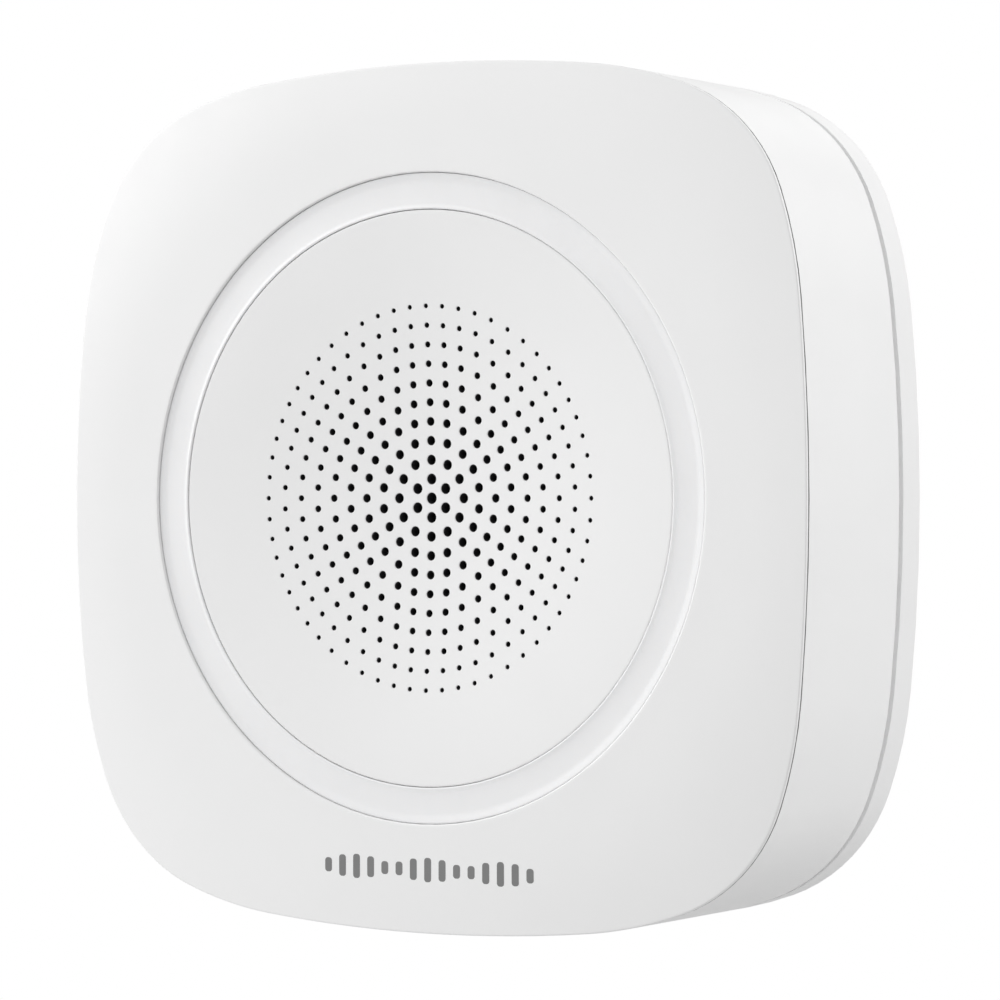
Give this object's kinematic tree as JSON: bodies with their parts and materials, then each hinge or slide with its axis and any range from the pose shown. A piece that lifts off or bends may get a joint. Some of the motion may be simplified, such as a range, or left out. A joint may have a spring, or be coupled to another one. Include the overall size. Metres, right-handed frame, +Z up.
{
  "type": "alarm siren",
  "caption": "Square pillow-shaped indoor alarm siren with a dished round grille, a ring light and a hinged wall plate.",
  "frame": {"origin": "middle of the wall plate's back face, on the wall", "axes": "+Z up, the face looks towards -Y, +X to the right as seen from the front"},
  "size_m": [0.111, 0.032, 0.111],
  "materials": {
    "rear_plastic": "fine moulded grain",
    "case_plastic": "fine moulded grain, satin",
    "cover_plastic": "fine moulded grain, satin",
    "grille_plastic": "fine moulded grain, satin",
    "lens_plastic": "milky translucent diffuser",
    "mesh_cloth": "fine black woven mesh",
    "foam": "closed-cell foam",
    "dark_plastic": "black moulded",
    "brass": "rolled brass",
    "ceramic": "silvered ceramic",
    "rubber": "soft rubber",
    "lead_red": "wire sleeve",
    "zinc_steel": "zinc-plated",
    "lock_steel": "nickel-plated",
    "white_board": "white solder mask",
    "led_yellow": "phosphor dome",
    "flex_film": "amber polyimide film",
    "socket_ivory": "nylon",
    "green_board": "green solder mask",
    "shield_tin": "tin-plated can",
    "antenna_brass": "spring wire",
    "ferrite_tape": "ferrite and amber tape",
    "capacitor_sleeve": "shrink sleeve",
    "knob_white": "acetal",
    "button_red": "moulded",
    "cell_wrap": "printed shrink wrap, no print",
    "contact_nickel": "nickel-plated",
    "label_film": "blank silver film"
  },
  "bodies": {
    "mount_plate": {"wall_plate": "rear_plastic"},
    "case": {"housing": "case_plastic", "front_cover": "cover_plastic", "grille_disc": "grille_plastic", "light_ring": "lens_plastic", "acoustic_mesh": "mesh_cloth", "chamber_gasket": "foam", "siren_chamber": "dark_plastic", "chamber_cap": "dark_plastic", "tamper_switch": "dark_plastic", "power_switch": "dark_plastic", "enrol_switch": "dark_plastic", "control_chip": "dark_plastic", "board_parts": "dark_plastic", "piezo_disc": "brass", "piezo_ceramic": "ceramic", "piezo_seal": "rubber", "siren_leads": "lead_red", "chamber_screws": "zinc_steel", "board_screws": "zinc_steel", "cover_screws": "zinc_steel", "led_board": "white_board", "leds": "led_yellow", "led_ribbon": "flex_film", "ribbon_socket": "socket_ivory", "main_board": "green_board", "radio_module": "shield_tin", "antenna": "antenna_brass", "boost_transformer": "ferrite_tape", "buffer_capacitor": "capacitor_sleeve", "battery_1": "cell_wrap", "battery_2": "cell_wrap", "battery_3": "cell_wrap", "battery_4": "cell_wrap", "cell_springs": "contact_nickel", "cell_plates": "contact_nickel", "rating_label": "label_film"},
    "tamper": {"tamper_plunger": "knob_white"},
    "power_knob": {"power_slider": "knob_white"},
    "enrol_key": {"enrol_button": "button_red"},
    "lock_ring": {"lock_washer": "lock_steel"},
    "lock_bolt": {"lock_screw": "lock_steel"}
  },
  "joints": [
    {"name": "case_tilt", "type": "hinge", "parent": "mount_plate", "child": "case", "pos_m": [0, -0.00575, 0.0555], "axis": [-1, 0, 0], "range_deg": [0, 35]},
    {"name": "tamper_travel", "type": "slide", "parent": "case", "child": "tamper", "axis": [0, 1, 0], "range_m": [0, 0.0015], "stiffness_N_per_m": 60, "springref_m": 0.003},
    {"name": "power_slide", "type": "slide", "parent": "case", "child": "power_knob", "axis": [1, 0, 0], "range_m": [0, 0.002]},
    {"name": "enrol_press", "type": "slide", "parent": "case", "child": "enrol_key", "axis": [0, -1, 0], "range_m": [0, 0.0004], "stiffness_N_per_m": 100},
    {"name": "lock_travel", "type": "slide", "parent": "case", "child": "lock_ring", "axis": [0, 0, -1], "range_m": [0, 0.002]},
    {"name": "lock_turn", "type": "hinge", "parent": "lock_ring", "child": "lock_bolt", "pos_m": [0, -0.0105, -0.05], "axis": [0, 0, -1], "range_deg": [0, 1440]}
  ],
  "couplings": [
    {"joint": "lock_turn", "follows": "lock_travel", "rad_per_m": 12566}
  ]
}
